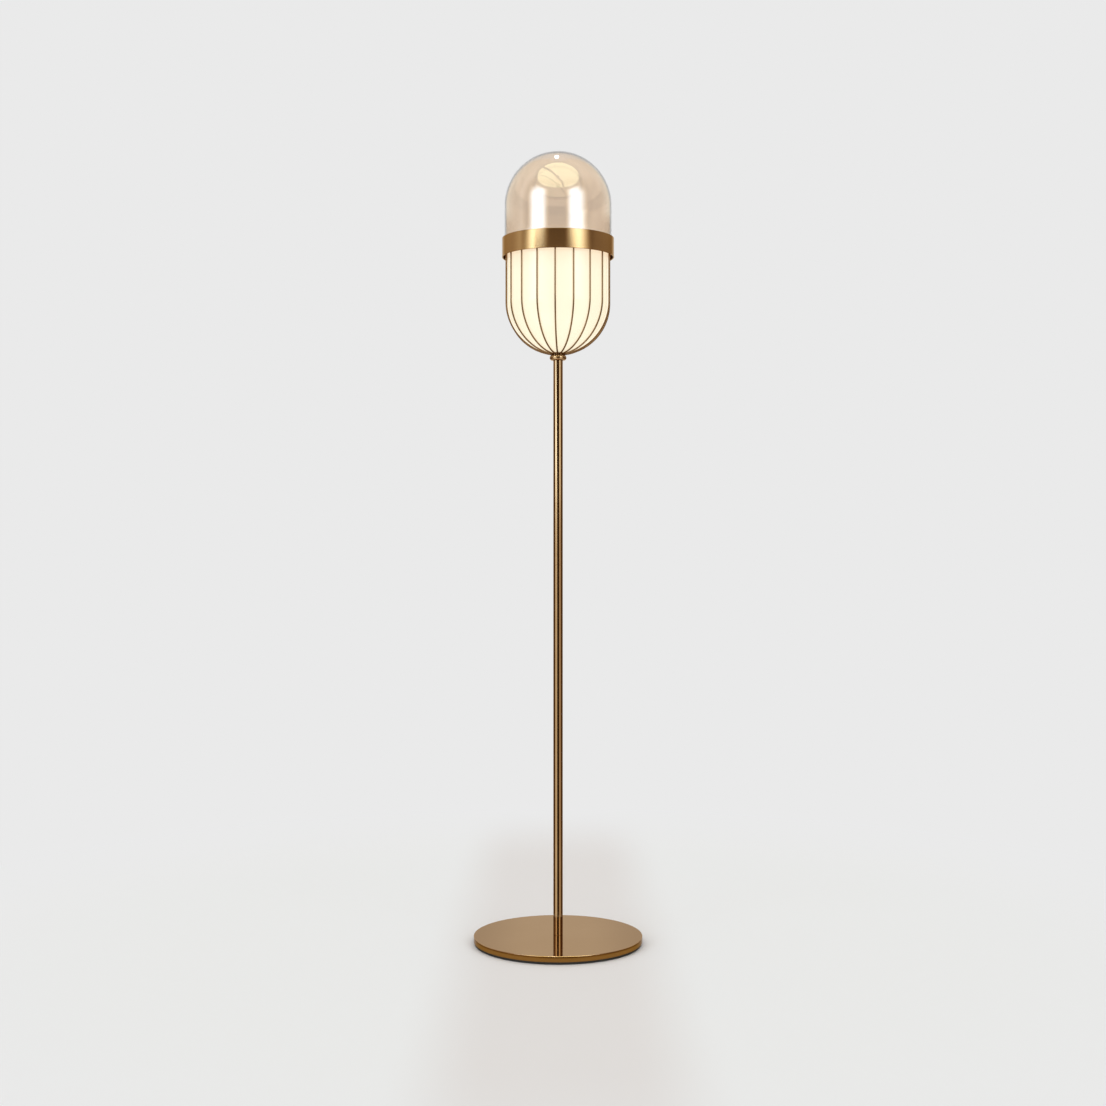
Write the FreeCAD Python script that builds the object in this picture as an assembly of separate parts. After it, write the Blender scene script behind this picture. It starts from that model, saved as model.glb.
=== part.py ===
import FreeCAD, Part

import math
import os

# A floor lamp: a capsule-shaped head on a slim two-part stem over a round weighted foot.
# The lower half of the head is an opal glass bowl inside a cage of thin wires, the upper half is a tinted
# clear glass dome, and a wide brass band joins the two. Millimetres, +Z up, origin on the floor under the
# stem.
# The front, which the photograph shows, looks along -Y, and the mains lead would leave the foot at +Y.

Vector = FreeCAD.Vector
UP = Vector(0, 0, 1)
AXIS_FOOT = Vector(0, 0, 0)

# ---- driving sizes ----------------------------------------------------------------------------------

# foot
foot_radius = 160.0
foot_thickness = 11.0
foot_edge_round = 1.0
foot_bottom_chamfer = 0.6
pad_thickness = 4.5
pad_inset = 2.0
pad_hole_radius = 30.0
recess_radius = 20.0
recess_depth = 8.0
channel_width = 8.0

# rubber sleeve where the mains lead leaves the foot
sleeve_length = 13.4
sleeve_width = 11.0
sleeve_height = 8.0
sleeve_setback = 0.6
lead_bore_radius = 3.1

# fit between pieces that screw, press or are brazed together
fit_gap = 0.05

# hollow threaded rod (M10 x 1), its nuts and washers
rod_radius = 5.0
rod_bore_radius = 3.5
nut_across_flats = 14.0
nut_thickness = 4.0
nut_crown = 0.4
nut_cone_width = 2.0
nut_cone_height = 0.8
washer_radius = 9.0
washer_thickness = 1.2

# stem
tube_radius = 9.0
tube_wall = 1.2
tube_end_chamfer = 0.3
lower_tube_length = 702.5
upper_tube_length = 387.5
bush_length = 20.0
rod_grip = 16.0

# bead and cage hub under the head
bead_height = 10.0
bead_end_radius = 12.0
bead_radius = 16.0
hub_web = 0.67
hub_cheek = 0.5
socket_depth = 2.5

# cage
wire_count = 18
wire_radius = 1.5
cage_radius = 98.5
cage_turn = -3.3
cage_straight = 102.5
wire_seat_depth = 1.2

# opal bowl and the washers that clamp it
bowl_gap = 1.0
bowl_wall = 3.0
bowl_hole_play = 0.6
soft_washer_thickness = 1.2
soft_washer_radius = 11.5
bowl_rim_drop = 2.0
rim_round = 1.0

# band, with the shelf and the seal inside it
band_clearance = 4.0
band_wall = 2.0
band_height = 36.0
band_edge_chamfer = 0.4
shelf_gap = 0.6
shelf_thickness = 2.5
shelf_below_band_top = 16.0
seal_thickness = 1.5
seal_lip_height = 9.0
seal_gap = 0.15

# tinted dome
dome_setback = 2.5
dome_side_gap = 0.35
dome_wall = 3.0
dome_straight = 76.3

# lid over the bowl
lid_thickness = 3.0
lid_chamfer = 0.5
lid_gap = 1.0
lid_step = 2.0
lid_step_gap = 0.6
lid_bar_width = 4.0
lid_eye_radius = 5.5
lid_bar_thickness = 2.0
lid_bar_inset = 3.6
lid_bar_turn = 55.0
knob_radius = 6.5
knob_waist_radius = 4.0
knob_height = 13.0
knob_waist_height = 4.94
knob_waist_length = 2.0
knob_shoulder_height = 7.15
knob_chamfer = 1.0
lid_screw_radius = 2.0
lid_screw_head_radius = 4.0
lid_screw_head_height = 2.4
lid_screw_grip = 8.0
lid_screw_head_chamfer = 1.0
lid_screw_end_room = 0.5

# lampholder for an Edison screw bulb (E27)
holder_side_room = 2.75
holder_cap_height = 15.0
holder_cap_taper_width = 6.0
holder_cap_taper_height = 5.0
holder_wall = 2.0
holder_skirt_overlap = 6.0
holder_skirt_height = 36.0
holder_entry_height = 8.0
holder_rod_room = 1.0
holder_core_thickness = 8.0
holder_thread_wall = 0.6
holder_thread_rim = 4.85
holder_thread_play = 0.35
contact_width = 6.0
contact_thickness = 0.6
contact_rise = 1.8
contact_foot_start = -8.0
contact_foot_end = -4.0
contact_top_start = -1.5
contact_top_end = 2.5
terminal_screw_radius = 1.75
terminal_screw_length = 6.0
terminal_head_radius = 2.975
terminal_head_height = 1.5
terminal_slot_width = 0.6
terminal_slot_depth = 0.7
terminal_spacing = 18.0

# bulb
bulb_length = 108.0
bulb_radius = 30.0
bulb_wall = 1.3
bulb_base_radius = 13.1
bulb_thread_depth = 0.7
bulb_thread_pitch = 3.63
bulb_thread_turns = 5
bulb_thread_land = 1.7
bulb_base_wall = 0.5
bulb_insulator_height = 4.0
bulb_insulator_radius = 9.0
bulb_insulator_land = 0.5
bulb_insulator_cone_height = 1.5
bulb_insulator_play = 0.1
bulb_tip_radius = 4.5
bulb_tip_height = 1.4
bulb_tip_chamfer = 1.2
bulb_housing_top = 45.0
bulb_neck_slope = 27.0
bulb_board_thickness = 1.5
housing_plug_length = 4.0
housing_plug_play = 0.6
housing_shoulder = 0.6

# ---- places that follow from the sizes --------------------------------------------------------------

foot_bottom = pad_thickness
foot_top = foot_bottom + foot_thickness
recess_top = foot_bottom + recess_depth
seam_height = foot_top + lower_tube_length
stem_top = seam_height + upper_tube_length
tube_bore_radius = tube_radius - tube_wall
lead_bore_height = foot_bottom + sleeve_height / 2

bead_top = stem_top + bead_height
# the wires' inner ends lie side by side in the hub with a thin web between them
wire_end_radius = wire_count * (2 * wire_radius + hub_web) / (2 * math.pi)
hub_radius = wire_end_radius + socket_depth
hub_thickness = 2 * wire_radius + 2 * hub_cheek
hub_bottom = bead_top
hub_top = hub_bottom + hub_thickness
# the wires enter the hub's rim at mid thickness, and from there the cage's ball shape is fixed
hub_mid = hub_bottom + hub_thickness / 2
cage_centre = hub_mid + math.sqrt(cage_radius ** 2 - hub_radius ** 2)

bowl_radius = cage_radius - wire_radius - bowl_gap
bowl_bore_radius = bowl_radius - bowl_wall
bowl_bottom = hub_top + soft_washer_thickness
bowl_floor = bowl_bottom + bowl_wall
bowl_hole_radius = rod_radius + bowl_hole_play
clamp_bottom = bowl_floor + soft_washer_thickness
clamp_top = clamp_bottom + washer_thickness
holder_bottom = clamp_top + nut_thickness

shelf_top = cage_centre + cage_straight + shelf_thickness
shelf_bottom = shelf_top - shelf_thickness
band_top = shelf_top + shelf_below_band_top
band_bottom = band_top - band_height
band_bore_radius = cage_radius + wire_radius + band_clearance
band_radius = band_bore_radius + band_wall
shelf_bore_radius = bowl_radius + shelf_gap
bowl_rim = shelf_top - bowl_rim_drop

seal_top = shelf_top + seal_thickness
dome_bottom = seal_top
dome_centre = dome_bottom + dome_straight
dome_radius = band_bore_radius - dome_setback
dome_bore_radius = dome_radius - dome_wall

lid_bottom = bowl_rim
lid_top = lid_bottom + lid_thickness
lid_radius = shelf_bore_radius - lid_gap
lid_step_radius = bowl_bore_radius - lid_step_gap
lid_bar_length = 2 * (lid_radius - lid_bar_inset)
bar_top = lid_top + lid_bar_thickness

core_bottom = holder_bottom + holder_cap_height
core_top = core_bottom + holder_core_thickness
thread_bore_radius = bulb_base_radius + holder_thread_play
thread_outer_radius = thread_bore_radius + bulb_thread_depth + holder_thread_wall
thread_length = bulb_thread_turns * bulb_thread_pitch
holder_cap_radius = thread_outer_radius + holder_side_room
skirt_bore_radius = holder_cap_radius + fit_gap
bulb_tip_bottom = core_top + contact_thickness + contact_rise
bulb_base_bottom = bulb_tip_bottom + bulb_tip_height + bulb_insulator_height
bulb_base_top = bulb_base_bottom + thread_length + 2 * bulb_thread_land
bulb_centre = bulb_tip_bottom + bulb_length - bulb_radius
housing_top = bulb_tip_bottom + bulb_housing_top
# the globe's cone leaves the ball where their slopes agree
neck_slope = math.tan(math.radians(bulb_neck_slope))
neck_height = bulb_centre - bulb_radius * math.sin(math.radians(bulb_neck_slope))
neck_radius = bulb_radius * math.cos(math.radians(bulb_neck_slope))
bulb_mouth_radius = neck_radius - (neck_height - housing_top) * neck_slope


# ---- shape helpers ----------------------------------------------------------------------------------

def at(radius, height):
    """A point of a lathe outline, which is drawn in the XZ plane."""
    return Vector(radius, 0, height)


def lathe(start, *steps):
    """Turns a closed outline round the lamp's axis. A step is (radius, height) for a straight side, or
    ((radius, height), (radius, height)) for an arc through the first point to the second."""
    edges = []
    here = at(*start)
    for step in steps + (start,):
        if isinstance(step[0], tuple):
            through = at(*step[0])
            there = at(*step[1])
            edges.append(Part.Arc(here, through, there).toShape())
        else:
            there = at(*step)
            if there.distanceToPoint(here) > 1e-7:
                edges.append(Part.LineSegment(here, there).toShape())
        here = there
    return Part.Face(Part.Wire(edges)).revolve(AXIS_FOOT, UP, 360)


def disc(radius, bottom, top):
    return Part.makeCylinder(radius, top - bottom, Vector(0, 0, bottom), UP)


def ring(outer, inner, bottom, top):
    return disc(outer, bottom, top).cut(disc(inner, bottom - 1, top + 1))


def box(width, depth, height, centre_x, centre_y, bottom):
    corner = Vector(centre_x - width / 2, centre_y - depth / 2, bottom)
    return Part.makeBox(width, depth, height, corner)


def ball_point(radius, centre, angle):
    """A point of a ball's outline: angle 0 is level with the centre, 90 its lowest point."""
    turn = math.radians(angle)
    return (radius * math.cos(turn), centre - radius * math.sin(turn))


def on_ball(radius, centre, height):
    """Distance of a ball's outline from the axis at a height."""
    return math.sqrt(radius ** 2 - (height - centre) ** 2)


def hexagon(across_flats, bottom, top):
    corner_radius = across_flats / math.sqrt(3)
    corners = [
        Vector(corner_radius * math.cos(k * math.pi / 3), corner_radius * math.sin(k * math.pi / 3), bottom)
        for k in range(7)
    ]
    return Part.Face(Part.makePolygon(corners)).extrude(Vector(0, 0, top - bottom))


def threaded_rod(bottom, top):
    return ring(rod_radius, rod_bore_radius, bottom, top)


def hex_nut(bottom):
    top = bottom + nut_thickness
    nut = hexagon(nut_across_flats, bottom, top).cut(disc(rod_radius + fit_gap, bottom - 1, top + 1))
    crown = nut_across_flats / 2 + nut_crown
    corner = crown + nut_cone_width
    body = lathe((0, bottom), (crown, bottom), (corner, bottom + nut_cone_height),
                 (corner, top - nut_cone_height), (crown, top), (0, top))
    return nut.common(body)


def washer(outer, bottom, thickness):
    return ring(outer, rod_radius + fit_gap, bottom, bottom + thickness)


# ---- foot -------------------------------------------------------------------------------------------

def lead_pocket(gap=0.0):
    """The room that the rubber sleeve takes in the foot's rim, less a gap all round."""
    back = foot_radius - sleeve_setback - sleeve_length
    return box(sleeve_width - 2 * gap, sleeve_length + 10, sleeve_height - gap,
               0, back + (sleeve_length + 10) / 2, foot_bottom)


def foot_plate():
    plate = lathe((0, foot_bottom),
                  (foot_radius - foot_bottom_chamfer, foot_bottom),
                  (foot_radius, foot_bottom + foot_bottom_chamfer),
                  (foot_radius, foot_top - foot_edge_round),
                  ((foot_radius - foot_edge_round * (1 - math.sqrt(0.5)),
                    foot_top - foot_edge_round * (1 - math.sqrt(0.5))),
                   (foot_radius - foot_edge_round, foot_top)),
                  (0, foot_top))
    plate = plate.cut(disc(rod_radius + fit_gap, 0, foot_top + 1))
    plate = plate.cut(disc(recess_radius, foot_bottom - 1, recess_top))
    reach = foot_radius + 10
    channel = box(channel_width, reach, recess_depth + 1, 0, reach / 2, foot_bottom - 1)
    plate = plate.cut(channel)
    return plate.cut(lead_pocket())


def foot_pad():
    return ring(foot_radius - pad_inset, pad_hole_radius, 0, pad_thickness)


def lead_sleeve():
    block = lead_pocket(fit_gap).common(disc(foot_radius - sleeve_setback, 0, foot_top))
    bore_centre = Vector(0, 0, lead_bore_height)
    bore = Part.makeCylinder(lead_bore_radius, foot_radius + 20, bore_centre, Vector(0, 1, 0))
    return block.cut(bore)


# ---- stem -------------------------------------------------------------------------------------------

def stem_tube(bottom, top):
    inner = tube_bore_radius
    bevel = tube_end_chamfer
    return lathe((inner, bottom), (tube_radius - bevel, bottom), (tube_radius, bottom + bevel),
                 (tube_radius, top - bevel), (tube_radius - bevel, top), (inner, top))


def tube_bush(bottom):
    return ring(tube_bore_radius - fit_gap, rod_radius + fit_gap, bottom, bottom + bush_length)


# ---- bead, hub and cage -----------------------------------------------------------------------------

def stem_bead():
    mid = (stem_top + bead_top) / 2
    outer = lathe((0, stem_top), (bead_end_radius, stem_top),
                  ((bead_radius, mid), (bead_end_radius, bead_top)), (0, bead_top))
    return outer.cut(disc(rod_radius + fit_gap, stem_top - 1, bead_top + 1))


def cage_wire(index, gap=0.0):
    """One wire: straight down from the shelf, then a quarter ball round to the hub. With a gap it is the
    room that the wire takes in its sockets."""
    end_angle = math.degrees(math.acos(wire_end_radius / cage_radius))
    top = at(cage_radius, shelf_bottom + wire_seat_depth)
    shoulder = at(cage_radius, cage_centre)
    middle = at(*ball_point(cage_radius, cage_centre, end_angle / 2))
    end = at(*ball_point(cage_radius, cage_centre, end_angle))
    path = Part.Wire([Part.LineSegment(top, shoulder).toShape(), Part.Arc(shoulder, middle, end).toShape()])
    section = Part.Wire([Part.makeCircle(wire_radius + gap, top, UP)])
    wire = path.makePipeShell([section], True, False)
    turn = 360.0 / wire_count * index + cage_turn - 90
    wire.rotate(AXIS_FOOT, UP, turn)
    return wire


def cage_hub():
    """The turned disc that the wires are brazed into, drilled where each wire enters its rim."""
    hub = ring(hub_radius, rod_radius + fit_gap, hub_bottom, hub_top)
    for index in range(wire_count):
        hub = hub.cut(cage_wire(index, fit_gap))
    return hub


# ---- band, shelf and seal ---------------------------------------------------------------------------

def head_band():
    outer, inner, bevel = band_radius, band_bore_radius, band_edge_chamfer
    return lathe((inner, band_bottom + bevel), (inner + bevel, band_bottom), (outer - bevel, band_bottom),
                 (outer, band_bottom + bevel), (outer, band_top - bevel), (outer - bevel, band_top),
                 (inner + bevel, band_top), (inner, band_top - bevel))


def band_shelf():
    """The flat ring inside the band. The wires stand in shallow holes in its underside."""
    shelf = ring(band_bore_radius - fit_gap, shelf_bore_radius, shelf_bottom, shelf_top)
    for index in range(wire_count):
        shelf = shelf.cut(cage_wire(index, fit_gap))
    return shelf


def dome_seal():
    outer = band_bore_radius - seal_gap
    lip = dome_radius + dome_side_gap
    inner = shelf_bore_radius + seal_gap
    return lathe((inner, shelf_top), (outer, shelf_top), (outer, shelf_top + seal_lip_height),
                 (lip, shelf_top + seal_lip_height), (lip, seal_top), (inner, seal_top))


# ---- glass ------------------------------------------------------------------------------------------

def tinted_dome():
    """A straight-sided dome with a half-ball top and a fire-polished rim."""
    outer, inner = dome_radius, dome_bore_radius
    up = dome_centre
    crown = math.sqrt(0.5)
    rim_mid = rim_round * (1 - crown)
    return lathe((inner, dome_bottom + rim_round),
                 ((inner + rim_mid, dome_bottom + rim_mid), (inner + rim_round, dome_bottom)),
                 (outer - rim_round, dome_bottom),
                 ((outer - rim_mid, dome_bottom + rim_mid), (outer, dome_bottom + rim_round)),
                 (outer, up),
                 ((outer * crown, up + outer * crown), (0, up + outer)),
                 (0, up + inner),
                 ((inner * crown, up + inner * crown), (inner, up)))


def opal_bowl():
    """A straight-sided bowl with a half-ball bottom, flattened and holed where it is clamped."""
    outer, inner = bowl_radius, bowl_bore_radius
    up = cage_centre
    flat_outer = on_ball(outer, up, bowl_bottom)
    flat_inner = on_ball(inner, up, bowl_floor)
    mid = 45.0
    half = bowl_wall / 2
    return lathe((bowl_hole_radius, bowl_bottom), (flat_outer, bowl_bottom),
                 (ball_point(outer, up, mid), (outer, up)),
                 (outer, bowl_rim - half / 2),
                 (outer - half / 2, bowl_rim),
                 (inner + half / 2, bowl_rim),
                 (inner, bowl_rim - half / 2),
                 (inner, up),
                 (ball_point(inner, up, mid), (flat_inner, bowl_floor)),
                 (bowl_hole_radius, bowl_floor))


# ---- lid --------------------------------------------------------------------------------------------

def lid_disc():
    step_bottom = lid_bottom - lid_step
    disc_shape = lathe((0, step_bottom), (lid_step_radius, step_bottom), (lid_step_radius, lid_bottom),
                       (lid_radius, lid_bottom), (lid_radius, lid_top - lid_chamfer),
                       (lid_radius - lid_chamfer, lid_top),
                       (0, lid_top))
    return disc_shape.cut(disc(lid_screw_radius + fit_gap, step_bottom - 1, lid_top + 1))


def lid_bar():
    """A flat bar right across the lid, with a round eye for the knob's screw."""
    bar = box(lid_bar_length, lid_bar_width, lid_bar_thickness, 0, 0, lid_top)
    bar = bar.common(disc(lid_bar_length / 2, lid_top - 1, bar_top + 1))
    bar = bar.fuse(disc(lid_eye_radius, lid_top, bar_top)).removeSplitter()
    bar = bar.cut(disc(lid_screw_radius + fit_gap, lid_top - 1, bar_top + 1))
    bar.rotate(AXIS_FOOT, UP, lid_bar_turn)
    return bar


def lid_knob():
    top = bar_top + knob_height
    waist = bar_top + knob_waist_height
    shoulder = bar_top + knob_shoulder_height
    end_radius = knob_radius - knob_chamfer
    knob = lathe((0, bar_top), (end_radius, bar_top), (knob_waist_radius, waist - knob_waist_length),
                 (knob_waist_radius, waist), (knob_radius, shoulder), (knob_radius, top - knob_chamfer),
                 (end_radius, top), (0, top))
    return knob.cut(disc(lid_screw_radius + fit_gap, bar_top - 1, bar_top + lid_screw_grip))


def lid_screw():
    head_top = lid_bottom - lid_step
    head_bottom = head_top - lid_screw_head_height
    shank_top = bar_top + lid_screw_grip - lid_screw_end_room
    head = lathe((0, head_bottom), (lid_screw_head_radius - lid_screw_head_chamfer, head_bottom),
                 (lid_screw_head_radius, head_bottom + lid_screw_head_chamfer),
                 (lid_screw_head_radius, head_top), (0, head_top))
    return head.fuse(disc(lid_screw_radius, head_top, shank_top)).removeSplitter()


# ---- lampholder -------------------------------------------------------------------------------------

def holder_cap():
    """The cup that screws onto the hollow rod."""
    top = core_bottom
    cup = lathe((0, holder_bottom), (holder_cap_radius - holder_cap_taper_width, holder_bottom),
                (holder_cap_radius, holder_bottom + holder_cap_taper_height), (holder_cap_radius, top), (0, top))
    room = disc(holder_cap_radius - holder_wall, holder_bottom + holder_entry_height, top + 1)
    return cup.cut(room).cut(disc(rod_radius + fit_gap, holder_bottom - 1, top))


def holder_skirt():
    """The sleeve that screws over the cap and stands round the bulb's base, with a rolled top edge."""
    bottom = core_bottom - holder_skirt_overlap
    top = core_bottom + holder_skirt_height
    inner = skirt_bore_radius
    outer = inner + holder_wall
    edge = holder_wall / 2
    return lathe((inner, bottom), (outer, bottom), (outer, top - edge),
                 ((outer - edge, top), (inner, top - edge)))


def holder_core():
    core = disc(holder_cap_radius, core_bottom, core_top)
    for side in (-1, 1):
        core = core.cut(Part.makeCylinder(terminal_screw_radius + fit_gap, terminal_screw_length + 1,
                                          Vector(side * terminal_spacing / 2, 0, core_bottom - 1), UP))
    return core


def holder_thread():
    """The metal sleeve that the bulb's base screws into, with its ridges as rings."""
    inner, outer = thread_bore_radius, thread_outer_radius
    top = core_top + thread_length + holder_thread_rim
    steps = []
    for turn in range(bulb_thread_turns):
        low = core_top + turn * bulb_thread_pitch
        groove = (inner + bulb_thread_depth, low + bulb_thread_pitch / 2)
        steps.append((groove, (inner, low + bulb_thread_pitch)))
    return lathe((inner, core_top), *steps, (inner, top), (outer, top), (outer, core_top))


def holder_contact():
    """The springy tongue that touches the tip of the bulb."""
    risen = core_top + contact_rise
    path = [(contact_foot_start, core_top), (contact_foot_end, core_top),
            (contact_top_start, risen), (contact_top_end, risen)]
    lower = [Vector(x, -contact_width / 2, z) for x, z in path]
    upper = [Vector(x, -contact_width / 2, z + contact_thickness) for x, z in reversed(path)]
    face = Part.Face(Part.makePolygon(lower + upper + lower[:1]))
    return face.extrude(Vector(0, contact_width, 0))


def terminal_screws():
    screws = []
    for side in (-1, 1):
        centre = Vector(side * terminal_spacing / 2, 0, core_bottom - terminal_head_height)
        shank = Part.makeCylinder(terminal_screw_radius, terminal_screw_length, centre, UP)
        head = Part.makeCylinder(terminal_head_radius, terminal_head_height, centre, UP)
        slot = box(2 * terminal_head_radius + 1, terminal_slot_width, terminal_slot_depth,
                   centre.x, centre.y, centre.z)
        screws.append(head.fuse(shank).removeSplitter().cut(slot))
    return Part.makeCompound(screws)


# ---- bulb -------------------------------------------------------------------------------------------

def housing_bore(height):
    """Inner radius of the housing's cone at a height."""
    low = bulb_base_radius - bulb_thread_depth - bulb_wall
    high = bulb_mouth_radius - bulb_wall
    share = (height - bulb_base_top) / (housing_top - bulb_base_top)
    return low + (high - low) * share


def bulb_globe():
    """A ball on a cone that meets it without a corner, open where it stands on the housing."""
    meet = bulb_neck_slope
    inner = bulb_radius - bulb_wall
    inner_mouth = bulb_mouth_radius - bulb_wall / math.cos(math.radians(meet))
    middle = (meet - 90) / 2
    return lathe((inner_mouth, housing_top), (bulb_mouth_radius, housing_top),
                 (neck_radius, neck_height),
                 (ball_point(bulb_radius, bulb_centre, middle), (0, bulb_centre + bulb_radius)),
                 (0, bulb_centre + inner),
                 (ball_point(inner, bulb_centre, middle), ball_point(inner, bulb_centre, meet)))


def bulb_housing():
    """The plastic cone between the screw base and the globe, with a plug inside the base."""
    plug_bottom = bulb_base_top - housing_plug_length
    plug = bulb_base_radius - bulb_thread_depth - housing_plug_play
    neck = bulb_base_radius + housing_shoulder
    return lathe((plug - bulb_wall, plug_bottom), (plug, plug_bottom), (plug, bulb_base_top),
                 (neck, bulb_base_top), (bulb_mouth_radius, housing_top),
                 (housing_bore(housing_top), housing_top),
                 (housing_bore(bulb_base_top), bulb_base_top))


def bulb_board():
    """The round board that carries the light chips, wedged in the mouth of the housing."""
    bottom = housing_top - bulb_board_thickness
    return disc(housing_bore(bottom) - fit_gap, bottom, housing_top)


def bulb_base():
    """The metal screw base, with its ridges as rings."""
    outer = bulb_base_radius - bulb_thread_depth
    inner = outer - bulb_base_wall
    first = bulb_base_bottom + bulb_thread_land
    steps = [(outer, bulb_base_bottom), (outer, first)]
    for turn in range(bulb_thread_turns):
        low = first + turn * bulb_thread_pitch
        ridge = (bulb_base_radius, low + bulb_thread_pitch / 2)
        steps.append((ridge, (outer, low + bulb_thread_pitch)))
    return lathe((inner, bulb_base_bottom), *steps, (outer, bulb_base_top), (inner, bulb_base_top))


def bulb_insulator():
    low, high = bulb_tip_bottom + bulb_tip_height, bulb_base_bottom
    rim = bulb_base_radius - bulb_thread_depth - bulb_insulator_play
    return lathe((0, low), (bulb_tip_radius + bulb_insulator_land, low),
                 (bulb_insulator_radius, low + bulb_insulator_cone_height), (rim, high), (0, high))


def bulb_tip():
    low = bulb_tip_bottom
    high = low + bulb_tip_height
    return lathe((0, low), (bulb_tip_radius - bulb_tip_chamfer, low), (bulb_tip_radius, high), (0, high))


# ---- the whole lamp ---------------------------------------------------------------------------------

def lamp():
    pieces = {
        "foot_plate": foot_plate(),
        "foot_pad": foot_pad(),
        "lead_sleeve": lead_sleeve(),
        "foot_rod": threaded_rod(recess_top - washer_thickness - nut_thickness, foot_top + rod_grip),
        "foot_washer": washer(washer_radius, recess_top - washer_thickness, washer_thickness),
        "foot_nut": hex_nut(recess_top - washer_thickness - nut_thickness),
        "lower_tube": stem_tube(foot_top, seam_height),
        "upper_tube": stem_tube(seam_height, stem_top),
        "foot_bush": tube_bush(foot_top),
        "seam_lower_bush": tube_bush(seam_height - bush_length),
        "seam_upper_bush": tube_bush(seam_height),
        "head_bush": tube_bush(stem_top - bush_length),
        "seam_rod": threaded_rod(seam_height - rod_grip, seam_height + rod_grip),
        "head_rod": threaded_rod(stem_top - rod_grip, holder_bottom + holder_entry_height - holder_rod_room),
        "stem_bead": stem_bead(),
        "cage_hub": cage_hub(),
        "head_band": head_band(),
        "band_shelf": band_shelf(),
        "dome_seal": dome_seal(),
        "glass_dome": tinted_dome(),
        "bowl_lower_washer": washer(soft_washer_radius, hub_top, soft_washer_thickness),
        "opal_bowl": opal_bowl(),
        "bowl_upper_washer": washer(soft_washer_radius, bowl_floor, soft_washer_thickness),
        "clamp_washer": washer(washer_radius, clamp_bottom, washer_thickness),
        "clamp_nut": hex_nut(clamp_top),
        "holder_cap": holder_cap(),
        "holder_core": holder_core(),
        "holder_skirt": holder_skirt(),
        "holder_thread": holder_thread(),
        "holder_contact": holder_contact(),
        "terminal_screws": terminal_screws(),
        "bulb_tip": bulb_tip(),
        "bulb_insulator": bulb_insulator(),
        "bulb_base": bulb_base(),
        "bulb_housing": bulb_housing(),
        "bulb_board": bulb_board(),
        "bulb_globe": bulb_globe(),
        "lid_disc": lid_disc(),
        "lid_bar": lid_bar(),
        "lid_knob": lid_knob(),
        "lid_screw": lid_screw(),
    }
    for index in range(wire_count):
        pieces["cage_wire_%02d" % (index + 1)] = cage_wire(index)
    return pieces


os.makedirs("parts", exist_ok=True)
for name, shape in lamp().items():
    for solid in shape.Solids:
        if not solid.isValid() or solid.Volume <= 0:
            print("check this solid:", name)
    shape.exportStep("parts/%s.step" % name)
print("cage centre", cage_centre, "band", band_bottom, band_top, "dome top", dome_centre + dome_radius)
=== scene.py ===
import math
import bpy
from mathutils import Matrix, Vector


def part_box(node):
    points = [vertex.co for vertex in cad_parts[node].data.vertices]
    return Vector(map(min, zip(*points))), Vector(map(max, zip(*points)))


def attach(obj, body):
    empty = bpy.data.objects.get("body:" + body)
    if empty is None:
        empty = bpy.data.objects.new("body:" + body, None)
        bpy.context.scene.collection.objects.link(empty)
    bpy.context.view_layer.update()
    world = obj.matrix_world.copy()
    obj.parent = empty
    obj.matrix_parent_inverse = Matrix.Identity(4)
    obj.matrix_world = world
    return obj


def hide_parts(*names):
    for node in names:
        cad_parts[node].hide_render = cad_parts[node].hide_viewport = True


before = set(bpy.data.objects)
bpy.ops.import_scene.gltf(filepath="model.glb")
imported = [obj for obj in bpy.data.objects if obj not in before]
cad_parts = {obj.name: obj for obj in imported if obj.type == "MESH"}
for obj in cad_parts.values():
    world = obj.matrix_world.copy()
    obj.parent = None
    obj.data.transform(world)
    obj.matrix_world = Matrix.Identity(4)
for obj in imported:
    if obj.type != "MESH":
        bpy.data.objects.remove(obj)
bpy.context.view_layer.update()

# Floor lamp: a lit opal bowl in a wire cage under a tinted glass dome, on a slim brass stem.
# Metres, +Z up, the front looks along -Y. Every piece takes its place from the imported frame.

mm = 0.001
tiny = 1e-9     # two lengths nearer than this are the same
weld = 1e-6     # points nearer than this are joined
print("frame in:", len(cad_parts), "nodes")


# camera

camera = {
    "place": (-0.0096, -3.009, 0.7595),
    "pitch": -0.36,      # degrees
    "roll": 0.0,
    "pixelFocus": 1586.0,    # of a picture as wide as the next entry
    "picture": 1106,
    "sensor": 36.0,
    "farthest": 50,
}
bpy.ops.object.select_all(action="DESELECT")
bpy.ops.object.camera_add(location=camera["place"],
                          rotation=(math.radians(90 + camera["pitch"]), math.radians(camera["roll"]), 0))
studioCamera = bpy.context.object
studioCamera.name = "studioCamera"
studioCamera.data.sensor_width = camera["sensor"]
studioCamera.data.lens = camera["pixelFocus"] / camera["picture"] * camera["sensor"]
studioCamera.data.clip_end = camera["farthest"]
bpy.context.scene.camera = studioCamera
bpy.context.scene.view_settings.view_transform = "Standard"
print("camera placed")


# shader maths

class Val:
    # one output socket, which adds Math nodes when it is used in a sum
    def __init__(self, board, socket):
        self.board = board
        self.socket = socket

    def __add__(self, other):
        return self.board.maths("ADD", self, other)

    def __sub__(self, other):
        return self.board.maths("SUBTRACT", self, other)

    def __mul__(self, other):
        return self.board.maths("MULTIPLY", self, other)

    def __truediv__(self, other):
        return self.board.maths("DIVIDE", self, other)

    def __radd__(self, other):
        return self.board.maths("ADD", other, self)

    def __rsub__(self, other):
        return self.board.maths("SUBTRACT", other, self)

    def __rmul__(self, other):
        return self.board.maths("MULTIPLY", other, self)


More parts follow.
